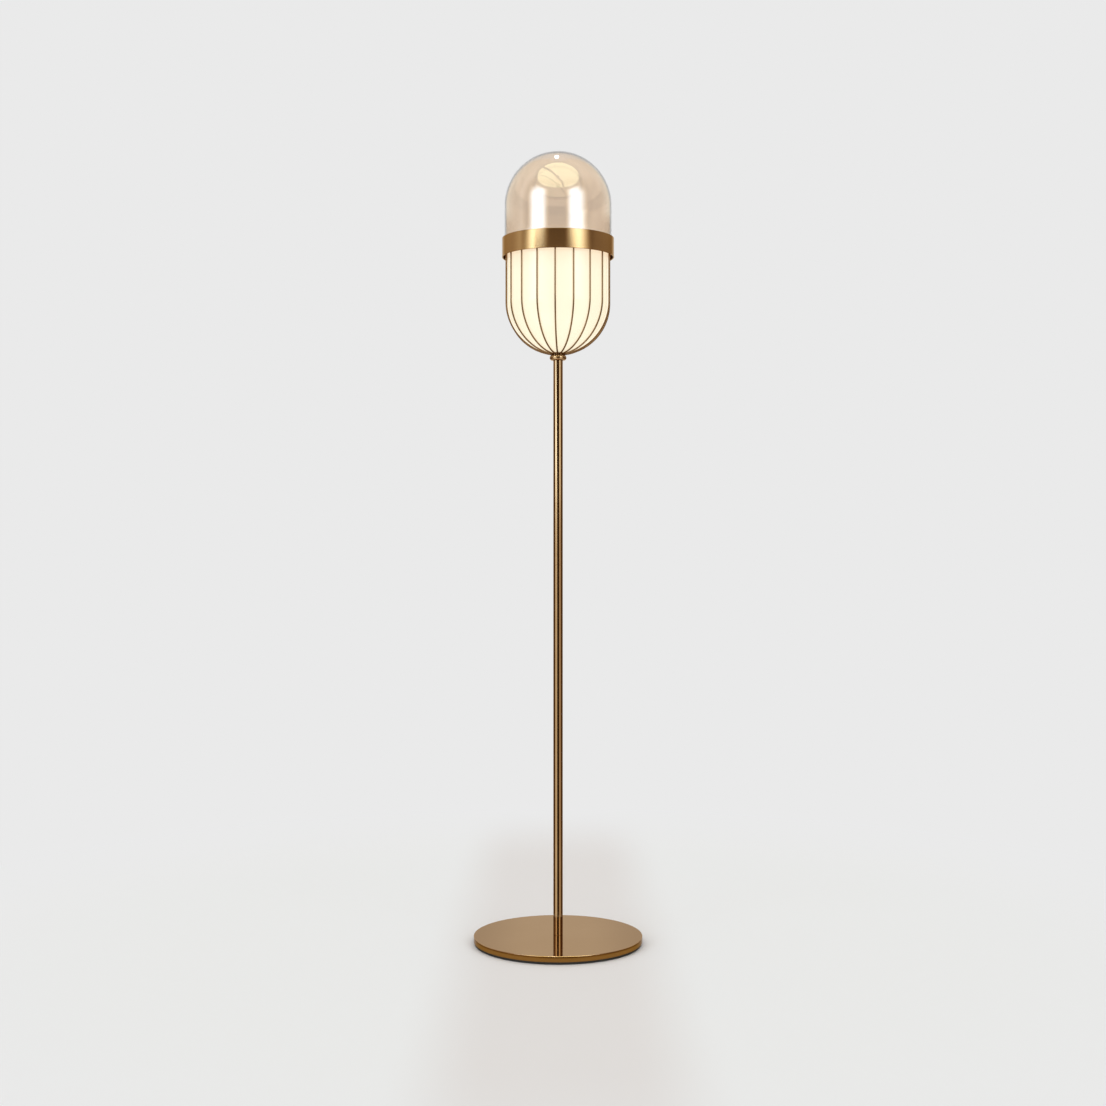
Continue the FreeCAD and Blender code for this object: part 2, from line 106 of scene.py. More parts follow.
class Board:
    # a node tree, laid out as it is filled
    def __init__(self, tree):
        self.tree = tree
        self.column = 0
        tree.nodes.clear()

    def node(self, kind, settings=None, values=None, out=0):
        made = self.tree.nodes.new(kind)
        made.location = (self.column * 180, -(self.column % 3) * 160)
        self.column += 1
        for name, setting in (settings or {}).items():
            setattr(made, name, setting)
        for name, value in (values or {}).items():
            self.join(value, made.inputs[name])
        return Val(self, made.outputs[out]) if made.outputs else made

    def join(self, value, socket):
        if isinstance(value, Val):
            self.tree.links.new(value.socket, socket)
        elif isinstance(value, tuple) and socket.type == "RGBA":
            socket.default_value = (*value, 1)
        else:
            socket.default_value = value

    def maths(self, operation, first, second):
        return self.node("ShaderNodeMath", {"operation": operation}, {0: first, 1: second})

    def size(self, value):
        return self.node("ShaderNodeMath", {"operation": "ABSOLUTE"}, {0: value})

    def length(self, first, second):
        return self.maths("POWER", first * first + second * second, 0.5)

    def vectors(self, operation, first, second):
        return self.node("ShaderNodeVectorMath", {"operation": operation}, {0: first, 1: second})

    def scaled(self, vector, scale):
        return self.node("ShaderNodeVectorMath", {"operation": "SCALE"}, {"Vector": vector, "Scale": scale})

    def rays(self, *names):
        # what kind of ray is at work
        path = self.node("ShaderNodeLightPath").socket.node
        return {name: Val(self, path.outputs[name]) for name in names}

    def clamp(self, value):
        return self.node("ShaderNodeClamp", {}, {"Value": value})

    def fade(self, value, start, end, low=0.0, high=1.0):
        # low before start, high after end, and a smooth slope between them
        return self.node("ShaderNodeMapRange", {"interpolation_type": "SMOOTHSTEP"},
                         {"Value": value, "From Min": start, "From Max": end,
                          "To Min": low, "To Max": high})

    def tint(self, share, first, second):
        # from the first colour to the second
        mixed = self.node("ShaderNodeMix", {"data_type": "RGBA"}, {"Factor": share})
        picked = mixed.socket.node
        self.join(first, picked.inputs[6])
        self.join(second, picked.inputs[7])
        return Val(self, picked.outputs[2])

    def place(self):
        return self.node("ShaderNodeTexCoord", out=3)

    def parts(self, vector):
        made = self.node("ShaderNodeSeparateXYZ", {}, {"Vector": vector}).socket.node
        return [Val(self, made.outputs[axis]) for axis in range(3)]

    def stretched(self, scale, turn=(0, 0, 0)):
        return self.node("ShaderNodeMapping", {}, {"Vector": self.place(), "Rotation": turn, "Scale": scale})

    def noise(self, scale, detail=2.0, rough=0.5, vector=None):
        return self.node("ShaderNodeTexNoise", {},
                         {"Vector": vector or self.place(), "Scale": scale, "Detail": detail,
                          "Roughness": rough})

    def bump(self, height, strength, depth):
        return self.node("ShaderNodeBump", {}, {"Height": height, "Strength": strength, "Distance": depth})

    def surface(self, values):
        shader = self.node("ShaderNodeBsdfPrincipled", {}, values)
        self.node("ShaderNodeOutputMaterial", {}, {"Surface": shader})
        return shader


def linear(red, green, blue):
    # a colour written as 0 to 255, the way a screen shows it
    shades = (red / 255, green / 255, blue / 255)
    return tuple(((c + 0.055) / 1.055) ** 2.4 if c > 0.04045 else c / 12.92 for c in shades)


def newFinish(name):
    finish = bpy.data.materials.new(name)
    finish.use_nodes = True
    return finish, Board(finish.node_tree)


# room and light

# angles are in degrees, round from the front or up from the level, and a pair is a soft edge's start and end
room = {
    "backdrop": linear(234, 234, 234),
    "dim": 0.10,             # what stands beside the lamp, low down
    "sideGlow": {"left": 0.52, "right": 0.36, "rise": (3.5, 9.5)},
    "sideMix": (-10.0, 10.0),
    "leftShine": {"strength": 0.35, "span": (-112, -72), "end": (-60.0, -30.0)},
    # the room behind the camera, which only the band shows lit
    "gap": {"low": 0.035, "band": 0.31, "rise": (6.8, 8.6), "drop": (11.25, 11.8), "span": (66.0, 88.0)},
    "backdropSpan": (140.0, 158.0),
    "besideDome": {"rise": (11.3, 12.2), "span": (88.0, 128.0)},
    # the strength lights the floor, and metal and glass show less of it
    "overhead": {"strength": 1.25, "shown": 0.40, "rise": (26, 58)},
    "below": {"strength": 0.45, "fall": (-16.0, -40.0)},
    "later": 0.42,           # share of the light after a second mirror
    # a soft box's two edges and its strengths, as they are low down, at the band and at the dome
    "leftBox": {"inner": ((20, 23), (43, 54), (17, 42)), "outer": ((68, 78), (53, 80), (47, 72)),
                "low": 0.80, "middle": 2.4, "band": 2.0, "dome": 4.3},
    "rightBox": {"inner": ((27, 29), (22, 46), (13, 35)), "outer": ((66, 76), (41, 74), (38, 70)),
                 "low": 0.56, "middle": 1.5, "band": 2.0, "dome": 4.2},
    "boxRise": {"band": (1.0, 8.0), "dome": (11.2, 11.5)},
    "boxStep": {"middle": (0.5, 3.5), "band": (6.0, 10.0)},
    "boxTop": (16, 40),
    "boxFoot": (-70, -50),
    # light grows paler with its strength
    "tones": ((0.05, (1.0, 0.50, 0.15)), (0.33, (1.0, 0.77, 0.55)),
              (1.1, (1.0, 1.0, 0.88)), (2.4, (1.0, 1.18, 1.32))),
}

# a round ceiling light in front of the lamp with a dark strut and boss, which the dome's crown mirrors;
# its sizes are sines of the angle away from its own middle
ceiling = {
    "lift": 58.8,            # degrees above the level
    "ahead": (0.0, 0.1),
    "radius": (0.665, 0.599),
    "strength": 2.3,
    "colour": (1.0, 0.97, 0.50),
    "rim": {"inner": (0.8725, 0.915), "disc": (0.915, 0.905), "outer": (1.0, 1.02)},
    "strut": ((-0.40, 0.50), (-0.235, 0.195), (-0.04, -0.12), (0.134, -0.336), (0.25, -0.66)),
    "strutWidth": (0.021, 0.042),
    "boss": {"place": (-0.03, -0.115), "radius": (0.0525, 0.075), "dark": 0.8},
    "spark": {"place": (-0.02, 0.80), "radius": (0.045, 0.10), "edge": (0.6, 1.0), "strength": 9.0},
}


def softBox(board, side, height, box):
    # a tall lit screen, whose edges shift with the height at which the lamp shows it
    toBand = board.fade(height, *room["boxRise"]["band"])
    toDome = board.fade(height, *room["boxRise"]["dome"])
    shares = []
    for name in ("inner", "outer"):
        low, band, high = box[name]
        ends = [a + toBand * (b - a) + toDome * (c - b) for a, b, c in zip(low, band, high)]
        shares.append(board.fade(side, *ends))
    strength = board.fade(height, *room["boxStep"]["middle"], box["low"], box["middle"])
    strength = strength + board.fade(height, *room["boxStep"]["band"], 0.0, box["band"] - box["middle"])
    strength = strength + toDome * (box["dome"] - box["band"])
    upright = board.fade(height, *room["boxFoot"]) * board.fade(height, *room["boxTop"], 1.0, 0.0)
    return shares[0] * (1 - shares[1]) * strength * upright


def farOff(board, flat, place, size=(1.0, 1.0)):
    # distance from a point of the ceiling light's flat
    sides = [(flat[k] - place[k]) / size[k] for k in (0, 1)]
    return board.length(*sides)


def ceilingLight(board, across, along, up):
    # returns the share of the room that dark parts hide, the lit disc's share and the spark's
    lift = math.radians(ceiling["lift"])
    flat = (across, along * math.sin(lift) + up * math.cos(lift))
    ahead = board.fade(up * math.sin(lift) - along * math.cos(lift), *ceiling["ahead"])
    rim = ceiling["rim"]
    out = farOff(board, flat, (0.0, 0.0), ceiling["radius"])
    disc = board.fade(out, *rim["disc"]) * ahead
    dark = board.fade(out, *rim["inner"]) * board.fade(out, *rim["outer"], 1.0, 0.0)
    points = ceiling["strut"]
    for start, end in zip(points, points[1:]):
        run = (end[0] - start[0], end[1] - start[1])
        square = run[0] ** 2 + run[1] ** 2
        share = board.clamp(((flat[0] - start[0]) * run[0] + (flat[1] - start[1]) * run[1]) / square)
        near = farOff(board, (flat[0] - share * run[0], flat[1] - share * run[1]), start)
        dark = board.maths("MAXIMUM", dark, board.fade(near, *ceiling["strutWidth"], 1.0, 0.0))
    boss = ceiling["boss"]
    bossShade = board.fade(farOff(board, flat, boss["place"]), *boss["radius"], boss["dark"], 0.0)
    dark = board.maths("MAXIMUM", dark, bossShade)
    spark = farOff(board, flat, ceiling["spark"]["place"], ceiling["spark"]["radius"])
    return dark * ahead, disc, board.fade(spark, *ceiling["spark"]["edge"], 1.0, 0.0) * ahead


world = bpy.data.worlds.new("studio")
bpy.context.scene.world = world
world.use_nodes = True
board = Board(world.node_tree)
across, along, up = board.parts(board.node("ShaderNodeTexCoord", out=0))
azimuth = board.maths("ARCTAN2", across, 0 - along) * math.degrees(1)
height = board.node("ShaderNodeMath", {"operation": "ARCSINE"}, {0: up}) * math.degrees(1)
sideways = board.size(azimuth)
rayIs = board.rays("Is Camera Ray", "Is Glossy Ray", "Is Transmission Ray",
                   "Glossy Depth", "Diffuse Depth", "Transmission Depth")
mirrored = rayIs["Is Glossy Ray"] * (1 - rayIs["Is Transmission Ray"])

# what stands beside, behind, in front of, over and under the lamp
glow, shine, gap, overhead = room["sideGlow"], room["leftShine"], room["gap"], room["overhead"]
sideLevel = board.fade(azimuth, *room["sideMix"], glow["left"], glow["right"])
shineShare = board.fade(azimuth, *shine["span"]) * board.fade(azimuth, *shine["end"], 1.0, 0.0)
sideLevel = sideLevel + shineShare * shine["strength"]
sideLevel = room["dim"] + board.fade(height, *glow["rise"]) * (sideLevel - room["dim"])
backdropShare = board.fade(sideways, *room["backdropSpan"])
level = sideLevel + backdropShare * (room["backdrop"][0] - sideLevel)
gapLevel = board.fade(height, *gap["rise"], gap["low"], gap["band"])
gapLevel = board.fade(height, *gap["drop"], gapLevel, gap["low"])
level = level + board.fade(sideways, *gap["span"], 1.0, 0.0) * (gapLevel - level)
beside = room["besideDome"]
aside = board.fade(height, *beside["rise"]) * board.fade(sideways, *beside["span"])
level = level + aside * (room["backdrop"][0] - level)
overLevel = overhead["strength"] + mirrored * (overhead["shown"] - overhead["strength"])
level = level + board.fade(height, *overhead["rise"]) * (overLevel - level)
level = level + board.fade(height, *room["below"]["fall"]) * (room["below"]["strength"] - level)
level = level + softBox(board, 0 - azimuth, height, room["leftBox"])
level = level + softBox(board, azimuth, height, room["rightBox"])
hidden, disc, spark = ceilingLight(board, across, along, up)
level = level * (1 - hidden * mirrored)
level = level * board.fade(rayIs["Glossy Depth"], 1.0, 2.0, 1.0, room["later"])

# its colour, and the ceiling light over it
steps = room["tones"]
tone = steps[0][1]
for below, above in zip(steps, steps[1:]):
    tone = board.tint(board.fade(level, below[0], above[0]), tone, above[1])
tone = board.tint(backdropShare, tone, (1.0, 1.0, 1.0))
discLevel = disc * mirrored * ceiling["strength"] * (1 - hidden)
spark = spark * mirrored * ceiling["spark"]["strength"]
whole = board.vectors("ADD", board.scaled(tone, level), board.scaled(ceiling["colour"], discLevel))
whole = board.vectors("ADD", whole, board.node("ShaderNodeCombineXYZ", {}, {0: spark, 1: spark, 2: spark}))

# the camera sees a plain backdrop, also through the glass
straight = board.clamp(1 - rayIs["Glossy Depth"] - rayIs["Diffuse Depth"])
trapped = board.clamp(rayIs["Transmission Depth"]) * board.clamp(rayIs["Glossy Depth"] - 1)
seesBackdrop = board.clamp(rayIs["Is Camera Ray"] + rayIs["Is Transmission Ray"] * straight + trapped)
light = board.node("ShaderNodeBackground", {},
                   {"Color": board.tint(seesBackdrop, whole, room["backdrop"]), "Strength": 1.0})
board.node("ShaderNodeOutputWorld", {}, {"Surface": light})
world.cycles.sampling_method = "MANUAL"
world.cycles.sample_map_resolution = 512
print("room lit")

floor = {
    "size": 14.0,
    "albedo": (0.80, 0.805, 0.862),
    "paintedShadowAlbedo": (0.728, 0.705, 0.742),    # painted shadow: a darker strip straight in front of the foot and behind it
    "paintedShadowSide": (0.10, 0.26),
    "reach": (0.7, 1.5),     # from here out the floor fades into the backdrop
    "mirror": (0.21, 0.24),  # metal shows the floor no further out than this
    "grain": {"scale": 900.0, "strength": 0.02, "depth": 0.0002},
}
bpy.ops.object.select_all(action="DESELECT")
bpy.ops.mesh.primitive_plane_add(size=floor["size"], location=(0, 0, 0))
studioFloor = bpy.context.object
studioFloor.name = "studioFloor"
finish, board = newFinish("paleFloor")
x, y = board.parts(board.place())[:2]
radius = board.length(x, y)
grain = floor["grain"]
fine = board.noise(grain["scale"], 3.0)
plain = board.node("ShaderNodeEmission", {}, {"Color": room["backdrop"], "Strength": 1.0})
# painted shadow: the floor's colour goes darker in a strip along Y within 0.10 m of the middle, fading out by
# 0.26 m
near = board.fade(board.size(x), *floor["paintedShadowSide"], 1.0, 0.0)
matt = board.node("ShaderNodeBsdfDiffuse", {}, {
    "Color": board.tint(near, floor["albedo"], floor["paintedShadowAlbedo"]),
    "Normal": board.bump(fine, grain["strength"], grain["depth"]),
})
shareOfShade = board.fade(radius, *floor["reach"], 1.0, 0.0)
isCamera, isGlossy, isThrough = board.rays("Is Camera Ray", "Is Glossy Ray", "Is Transmission Ray").values()
seen = board.clamp(isCamera + isGlossy + isThrough)
shown = board.node("ShaderNodeMixShader", {}, {0: 1 - seen * (1 - shareOfShade), 1: plain, 2: matt})
clear = board.node("ShaderNodeBsdfTransparent")
passed = isGlossy * (1 - isThrough) * board.fade(radius, *floor["mirror"])
board.node("ShaderNodeOutputMaterial", {},
           {"Surface": board.node("ShaderNodeMixShader", {}, {0: passed, 1: shown, 2: clear})})
studioFloor.data.materials.append(finish)
print("floor laid")


# finishes

# lines is the stretch of the drawn pattern along each axis, and swing how far it changes the roughness
brassTone = {
    "polished": {
        "base": (0.60, 0.41, 0.235), "shift": (0.52, 0.345, 0.19), "edge": (0.80, 0.66, 0.50),
        "mix": (0.35, 0.68), "rough": 0.10, "swing": 0.10,
        "lines": (500, 500, 9), "scratch": 0.003, "depth": 0.00004,
    },
    "wire": {
        "base": (0.36, 0.225, 0.12), "shift": (0.28, 0.17, 0.09), "edge": (0.80, 0.66, 0.50),
        "mix": (0.35, 0.68), "rough": 0.30, "swing": 0.10,
        "lines": (900, 900, 900), "scratch": 0.15, "depth": 0.00004,
    },
    "band": {
        "base": (0.53, 0.345, 0.17), "shift": (0.47, 0.295, 0.14), "edge": (0.80, 0.66, 0.50),
        "mix": (0.34, 0.66), "rough": 0.11, "swing": 0.08,
        "lines": (6, 6, 5200), "scratch": 0.12, "depth": 0.00003,
    },
    "foot": {
        "base": (0.565, 0.395, 0.255), "shift": (0.53, 0.365, 0.23), "edge": (0.72, 0.62, 0.50),
        "mix": (0.34, 0.66), "rough": 0.075, "swing": 0.04,
        "lines": (5, 700, 5), "scratch": 0.03, "depth": 0.00004,
        # painted shade: the top's colour goes darker towards its left and right, from 50 to 170 mm off the
        # middle
        "side": (0.42, 0.28, 0.18), "paintedSideShadeSpan": (0.05, 0.17),
        "rimStart": (0.1592, 0.1598), "rimRough": 0.10,
        # rim by height: its own deeper gold low down, then a painted dark band, then a painted highlight
        # along the rounded top edge
        "wallLow": (0.30, 0.145, 0.034), "paintedDarkBand": (0.17, 0.064, 0.008), "paintedDarkBandStep": (0.0105, 0.0135),
        "paintedHighlight": (0.62, 0.42, 0.26), "paintedHighlightStep": (0.0142, 0.0150),
    },
}


def brass(name, tone):
    # metal with fine drawn lines and small marks
    finish, board = newFinish(name)
    cloud = board.noise(9.0, 4.0, 0.6)
    drawn = board.noise(1.0, 3.0, 0.65, board.stretched(tone["lines"]))
    mark = board.noise(260.0, 2.0, 0.5)
    share = board.fade(cloud * 0.6 + drawn * 0.4, *tone["mix"])
    board.surface({
        "Base Color": board.tint(share, tone["base"], tone["shift"]),
        "Metallic": 1.0,
        "Roughness": tone["rough"] + (drawn - 0.5) * tone["swing"] + (mark - 0.5) * 0.03,
        "Specular Tint": tone["edge"],
        "Normal": board.bump(drawn, tone["scratch"], tone["depth"]),
    })
    return finish


def bandBrass(tone):
    # the band is brushed round its girth, so its lines differ only with height
    finish, board = newFinish("bandBrass")
    drawn = board.noise(1.0, 4.0, 0.7, board.stretched(tone["lines"]))
    cloud = board.noise(14.0, 3.0)
    share = board.fade(drawn * 0.7 + cloud * 0.3, *tone["mix"])
    board.surface({
        "Base Color": board.tint(share, tone["base"], tone["shift"]),
        "Metallic": 1.0,
        "Roughness": tone["rough"] + (drawn - 0.5) * tone["swing"],
        "Specular Tint": tone["edge"],
        "Normal": board.bump(drawn, tone["scratch"], tone["depth"]),
    })
    return finish


def plateBrass(tone):
    # the foot is brushed along one line across its top, with painted shade that darkens the top towards its
    # left and right; its rim is its own deeper gold, with a painted dark band and a painted highlight along
    # its rounded top edge
    finish, board = newFinish("plateBrass")
    x, y, z = board.parts(board.place())
    drawn = board.noise(1.0, 4.0, 0.65, board.stretched(tone["lines"]))
    cloud = board.noise(7.0, 3.0)
    top = board.tint(board.fade(drawn * 0.6 + cloud * 0.4, *tone["mix"]), tone["base"], tone["shift"])
    # painted shade: the top goes darker towards its left and right, by position across X
    top = board.tint(board.fade(board.size(x), *tone["paintedSideShadeSpan"]), top, tone["side"])
    rim = board.fade(board.length(x, y), *tone["rimStart"])
    # painted dark band and painted highlight along the rim, set by height
    wall = board.tint(board.fade(z, *tone["paintedDarkBandStep"]), tone["wallLow"], tone["paintedDarkBand"])
    wall = board.tint(board.fade(z, *tone["paintedHighlightStep"]), wall, tone["paintedHighlight"])
    board.surface({
        "Base Color": board.tint(rim, top, wall),
        "Metallic": 1.0,
        "Roughness": tone["rough"] + (drawn - 0.5) * tone["swing"] + rim * tone["rimRough"],
        "Specular Tint": tone["edge"],
        "Normal": board.bump(drawn, tone["scratch"], tone["depth"]),
    })
    return finish


polishedBrass = brass("polishedBrass", brassTone["polished"])
wireBrass = brass("wireBrass", brassTone["wire"])
bandFinish = bandBrass(brassTone["band"])
plateFinish = plateBrass(brassTone["foot"])


def mottled(name, first, second, rough, grain, bumpDepth, more=None):
    # a plain stuff with a fine grain and slow changes of colour
    finish, board = newFinish(name)
    cloud = board.noise(grain * 0.04, 3.0)
    fine = board.noise(grain, 3.0, 0.6)
    values = {
        "Base Color": board.tint(board.fade(cloud * 0.5 + fine * 0.5, 0.3, 0.7), first, second),
        "Roughness": rough + (fine - 0.5) * 0.12,
        "Normal": board.bump(fine, 0.3, bumpDepth),
    }
    values.update(more or {})
    board.surface(values)
    return finish


metal = {"Metallic": 1.0}
zincSteel = mottled("zincSteel", (0.56, 0.56, 0.55), (0.42, 0.43, 0.44), 0.32, 700, 0.00002, metal)
nickel = mottled("nickel", (0.66, 0.62, 0.56), (0.55, 0.52, 0.47), 0.24, 900, 0.00001, metal)
blackPad = mottled("blackPad", (0.022, 0.019, 0.017), (0.035, 0.031, 0.028), 0.85, 1400, 0.0001)
blackRubber = mottled("blackRubber", (0.018, 0.018, 0.018), (0.03, 0.03, 0.03), 0.55, 1200, 0.00004)
blackPhenolic = mottled("blackPhenolic", (0.02, 0.018, 0.017), (0.032, 0.028, 0.026), 0.32, 600, 0.00002)
blackGlass = mottled("blackGlass", (0.012, 0.012, 0.014), (0.02, 0.02, 0.022), 0.12, 500, 0.00001)
whiteCeramic = mottled("whiteCeramic", (0.78, 0.76, 0.71), (0.70, 0.68, 0.63), 0.3, 700, 0.00002)
whitePlastic = mottled("whitePlastic", (0.80, 0.80, 0.78), (0.74, 0.74, 0.72), 0.38, 900, 0.00002)
siliconeClear = mottled("siliconeClear", (0.80, 0.78, 0.73), (0.74, 0.72, 0.67), 0.34, 500, 0.00002,
                        {"Transmission Weight": 0.55, "IOR": 1.42})


def litGlow(name, body, glow, strength):
    # frosted plastic or opal glass with the light behind it, warmer towards the top
    finish, board = newFinish(name)
    z = board.parts(board.place())[2]
    fine = board.noise(420.0, 2.0)
    cloud = board.noise(11.0, 2.0)
    hot, warm = glow["hot"], glow["warm"]
    share = board.fade(z - glow["height"] + (cloud - 0.5) * 0.012, glow["core"], glow["reach"])
    board.surface({
        "Base Color": board.tint(fine, body, tuple(c * 0.94 for c in body)),
        "Roughness": 0.30 + (fine - 0.5) * 0.05,
        "Emission Color": board.tint(share, hot, warm),
        "Emission Strength": strength,
        "Coat Weight": 0.5,
        "Coat Roughness": 0.08,
        "Normal": board.bump(fine, 0.05, 0.00002),
    })
    return finish


opalGlass = litGlow("opalGlass", (0.26, 0.245, 0.20), {
    "hot": (1.0, 0.90, 0.67), "warm": (0.96, 0.78, 0.56), "height": 1.2235, "core": 0.035, "reach": 0.085,
}, 0.90)
opalLid = litGlow("opalLid", (0.34, 0.32, 0.28), {
    "hot": (1.0, 0.92, 0.66), "warm": (1.0, 0.88, 0.62), "height": 1.3195, "core": 0.0, "reach": 0.01,
}, 1.0)
litPlastic = litGlow("litPlastic", (0.6, 0.6, 0.56), {
    "hot": (1.0, 0.93, 0.76), "warm": (1.0, 0.88, 0.66), "height": 1.2385, "core": 0.01, "reach": 0.05,
}, 1.6)


glassTone = {
    "clear": (0.965, 0.86, 0.752),
    "deep": (0.955, 0.845, 0.738),
    "cloud": 16.0,
    "ripple": {"scale": 22.0, "strength": 0.01, "depth": 0.002},
    "lustre": {"weight": 0.75, "swing": 0.1, "rough": 0.008, "bend": 1.75},
}


def lustreGlass(tone):
    # amber tinted clear glass with a thin pearly lustre on it
    finish, board = newFinish("lustreGlass")
    cloud = board.noise(tone["cloud"], 2.0)
    ripple = board.noise(tone["ripple"]["scale"], 1.0)
    board.surface({
        "Base Color": board.tint(cloud, tone["clear"], tone["deep"]),
        "Roughness": 0.0,
        "IOR": 1.5,
        "Transmission Weight": 1.0,
        "Coat Weight": tone["lustre"]["weight"] + (cloud - 0.5) * tone["lustre"]["swing"],
        "Coat Roughness": tone["lustre"]["rough"],
        "Coat IOR": tone["lustre"]["bend"],
        "Normal": board.bump(ripple, tone["ripple"]["strength"], tone["ripple"]["depth"]),
    })
    return finish


lustre = lustreGlass(glassTone)
print("finishes mixed")


# modelling helpers

def span(node):
    # outer radius, bottom and top of a round node
    low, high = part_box(node)
    return high.x, low.z, high.z


def finishPiece(piece, body, finish, nodes, smooth=32):
    bpy.ops.object.mode_set(mode="OBJECT")
    piece.data.materials.clear()
    piece.data.materials.append(finish)
    if smooth:
        bpy.ops.object.shade_smooth_by_angle(angle=math.radians(smooth))
    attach(piece, body)
    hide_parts(*nodes)
    return piece


def arc(middle, radius, start, end, steps):
    # points of an arc in an outline, by angle from level
    turn = [math.radians(start + (end - start) * k / steps) for k in range(steps + 1)]
    return [(middle[0] + radius * math.cos(a), middle[1] + radius * math.sin(a)) for a in turn]


def ringTo(fromPoint, toPoint):
    # pulls the chosen ring out to the next point of the outline
    bpy.ops.mesh.extrude_edges_move(TRANSFORM_OT_translate={"value": (0, 0, toPoint[1] - fromPoint[1])})
    if toPoint[0] < tiny:
        bpy.ops.mesh.merge(type="CENTER")
    elif abs(toPoint[0] - fromPoint[0]) > tiny:
        grow = toPoint[0] / fromPoint[0]
        bpy.ops.transform.resize(value=(grow, grow, 1), center_override=(0, 0, toPoint[1]))


def turned(name, outline, sides):
    # a piece turned on the lamp's axis, left in edit mode: each ring is pulled out of the one before
    bpy.ops.object.select_all(action="DESELECT")
    startsOnAxis = outline[0][0] < tiny
    first = outline[1] if startsOnAxis else outline[0]
    bpy.ops.mesh.primitive_circle_add(vertices=sides, radius=first[0], fill_type="NOTHING",
                                      location=(0, 0, first[1]))
    piece = bpy.context.object
    piece.name = piece.data.name = name
    bpy.ops.object.transform_apply(location=True, rotation=False, scale=False)
    bpy.ops.object.mode_set(mode="EDIT")
    bpy.ops.mesh.select_mode(type="EDGE")
    bpy.ops.mesh.select_all(action="SELECT")
    if startsOnAxis:
        ringTo(first, outline[0])
        bpy.ops.mesh.select_all(action="DESELECT")
        bpy.ops.mesh.select_non_manifold(extend=False, use_wire=False, use_multi_face=False,
                                         use_non_contiguous=False, use_verts=False)
        rest = outline[2:]
    else:
        rest = outline[1:] + [outline[0]]
    here = first
    for there in rest:
        ringTo(here, there)
        here = there
    bpy.ops.mesh.select_all(action="SELECT")
    bpy.ops.mesh.remove_doubles(threshold=weld)
    bpy.ops.mesh.normals_make_consistent(inside=False)
    return piece


# foot

foot = {"sides": 256, "edgeRound": 1.0 * mm, "bottomBevel": 0.6 * mm, "recess": 20 * mm, "channel": 8 * mm,
        "recessDepth": 8 * mm, "rodHole": 5.05 * mm}
footRadius, footBottom, footTop = span("foot_plate")
edge = foot["edgeRound"]
recessTop = footBottom + foot["recessDepth"]
plate = turned("footPlate", [
    (foot["rodHole"], recessTop),
    (foot["recess"], recessTop),
    (foot["recess"], footBottom),
    (foot["recess"] + 2 * mm, footBottom),
    (footRadius - 3 * mm, footBottom),
    (footRadius - foot["bottomBevel"], footBottom),
    (footRadius, footBottom + foot["bottomBevel"]),
    (footRadius, footBottom + foot["bottomBevel"] + 1 * mm),
    (footRadius, footTop - edge - 1 * mm),
    *arc((footRadius - edge, footTop - edge), edge, 0, 90, 6),
    (footRadius - edge - 1.5 * mm, footTop),
    (14 * mm, footTop),
    (foot["rodHole"], footTop),
], foot["sides"])
bpy.ops.object.mode_set(mode="OBJECT")


def cutBlock(piece, low, high):
    # takes a block of room out of a piece
    bpy.ops.object.select_all(action="DESELECT")
    middle = [(a + b) / 2 for a, b in zip(low, high)]
    bpy.ops.mesh.primitive_cube_add(size=1, location=middle)
    cutter = bpy.context.object
    cutter.scale = [b - a for a, b in zip(low, high)]
    bpy.ops.object.transform_apply(location=True, rotation=False, scale=True)
    bpy.ops.object.select_all(action="DESELECT")
    piece.select_set(True)
    bpy.context.view_layer.objects.active = piece
    cut = piece.modifiers.new("room", "BOOLEAN")
    cut.object = cutter
    cut.operation = "DIFFERENCE"
    cut.solver = "EXACT"
    bpy.ops.object.modifier_apply(modifier="room")
    bpy.data.objects.remove(cutter)


sleeveLow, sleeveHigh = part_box("lead_sleeve")
cutBlock(plate, (-foot["channel"] / 2, 0, footBottom - 1 * mm),
         (foot["channel"] / 2, footRadius + 5 * mm, recessTop))
cutBlock(plate, (sleeveLow.x, sleeveLow.y, footBottom - 1 * mm),
         (sleeveHigh.x, footRadius + 5 * mm, sleeveHigh.z))
finishPiece(plate, "stand", plateFinish, ["foot_plate"], 25)

pad = {"hole": 30 * mm, "round": 0.6 * mm, "sides": 160}
padRadius, padBottom, padTop = span("foot_pad")
soft = pad["round"]
footPad = turned("footPad", [
    (pad["hole"], padTop), (pad["hole"], padBottom), (pad["hole"] + 1 * mm, padBottom),
    (padRadius - soft - 1 * mm, padBottom),
    *arc((padRadius - soft, padBottom + soft), soft, -90, 0, 4),
    (padRadius, padTop),
], pad["sides"])
finishPiece(footPad, "stand", blackPad, ["foot_pad"])
print("foot made")


# stem

stem = {"bore": 7.8 * mm, "bevel": 0.3 * mm, "sides": 72}


def stemTube(name, node):
    outer, bottom, top = span(node)
    bevel = stem["bevel"]
    tube = turned(name, [
        (stem["bore"], bottom), (outer - bevel, bottom), (outer, bottom + bevel), (outer, bottom + 2 * mm),
        (outer, top - 2 * mm), (outer, top - bevel), (outer - bevel, top), (stem["bore"], top),
    ], stem["sides"])
    finishPiece(tube, "stand", polishedBrass, [node])


stemTube("lowerTube", "lower_tube")
stemTube("upperTube", "upper_tube")

bead = {"end": 12 * mm, "hole": 5.05 * mm, "sides": 96, "steps": 14}
beadRadius, beadBottom, beadTop = span("stem_bead")
